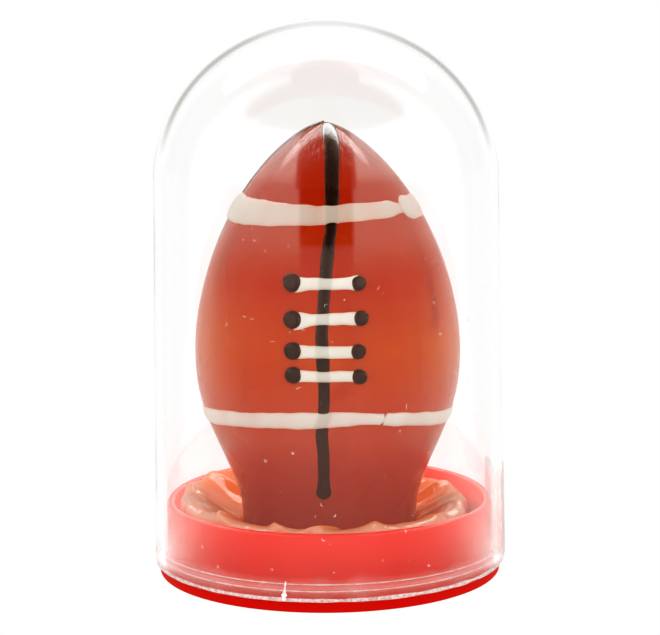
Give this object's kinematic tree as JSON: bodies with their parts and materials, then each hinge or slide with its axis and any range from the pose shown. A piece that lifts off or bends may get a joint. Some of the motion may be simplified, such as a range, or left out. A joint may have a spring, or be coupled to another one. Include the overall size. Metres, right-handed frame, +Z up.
{
  "type": "football display case",
  "caption": "Small painted rubber football figure standing in a round red tray under a clear lift-off bell dome.",
  "frame": {"origin": "centre of the tray's underside, on the surface it stands on", "axes": "+Z up along the common axis of tray, football and dome; -Y is the front, with the laces; +X is the viewer's right"},
  "size_m": [0.0641, 0.0638, 0.0997],
  "materials": {
    "red_plastic": "glossy moulded red plastic",
    "clear_plastic": "clear glossy moulded plastic",
    "label_paper": "plain coated paper label, blank",
    "former": "plain matt core, hidden",
    "rubber_skin": "thin stretched orange-brown rubber, slightly translucent, glossy",
    "loose_rubber": "slack translucent orange-brown rubber, glossy",
    "black_paint": "thick black hand-applied paint",
    "white_paint": "thick warm white hand-applied paint"
  },
  "bodies": {
    "base": {"base_tray": "red_plastic"},
    "dome": {"dome_cover": "clear_plastic", "side_label": "label_paper"},
    "figure": {"inner_former": "former", "football_skin": "rubber_skin", "gathered_skirt": "loose_rubber", "rolled_rim": "loose_rubber", "seam_stripe": "black_paint", "upper_band": "white_paint", "lower_band": "white_paint", "lace_bar_1": "white_paint", "lace_bar_2": "white_paint", "lace_bar_3": "white_paint", "lace_bar_4": "white_paint", "lace_dot_left_1": "black_paint", "lace_dot_left_2": "black_paint", "lace_dot_left_3": "black_paint", "lace_dot_left_4": "black_paint", "lace_dot_right_1": "black_paint", "lace_dot_right_2": "black_paint", "lace_dot_right_3": "black_paint", "lace_dot_right_4": "black_paint"}
  },
  "joints": [
    {"name": "dome_lift", "type": "slide", "parent": "base", "child": "dome", "axis": [0, 0, 1], "range_m": [0, 0.085]},
    {"name": "figure_lift", "type": "slide", "parent": "base", "child": "figure", "axis": [0, 0, 1], "range_m": [0, 0.012]}
  ]
}
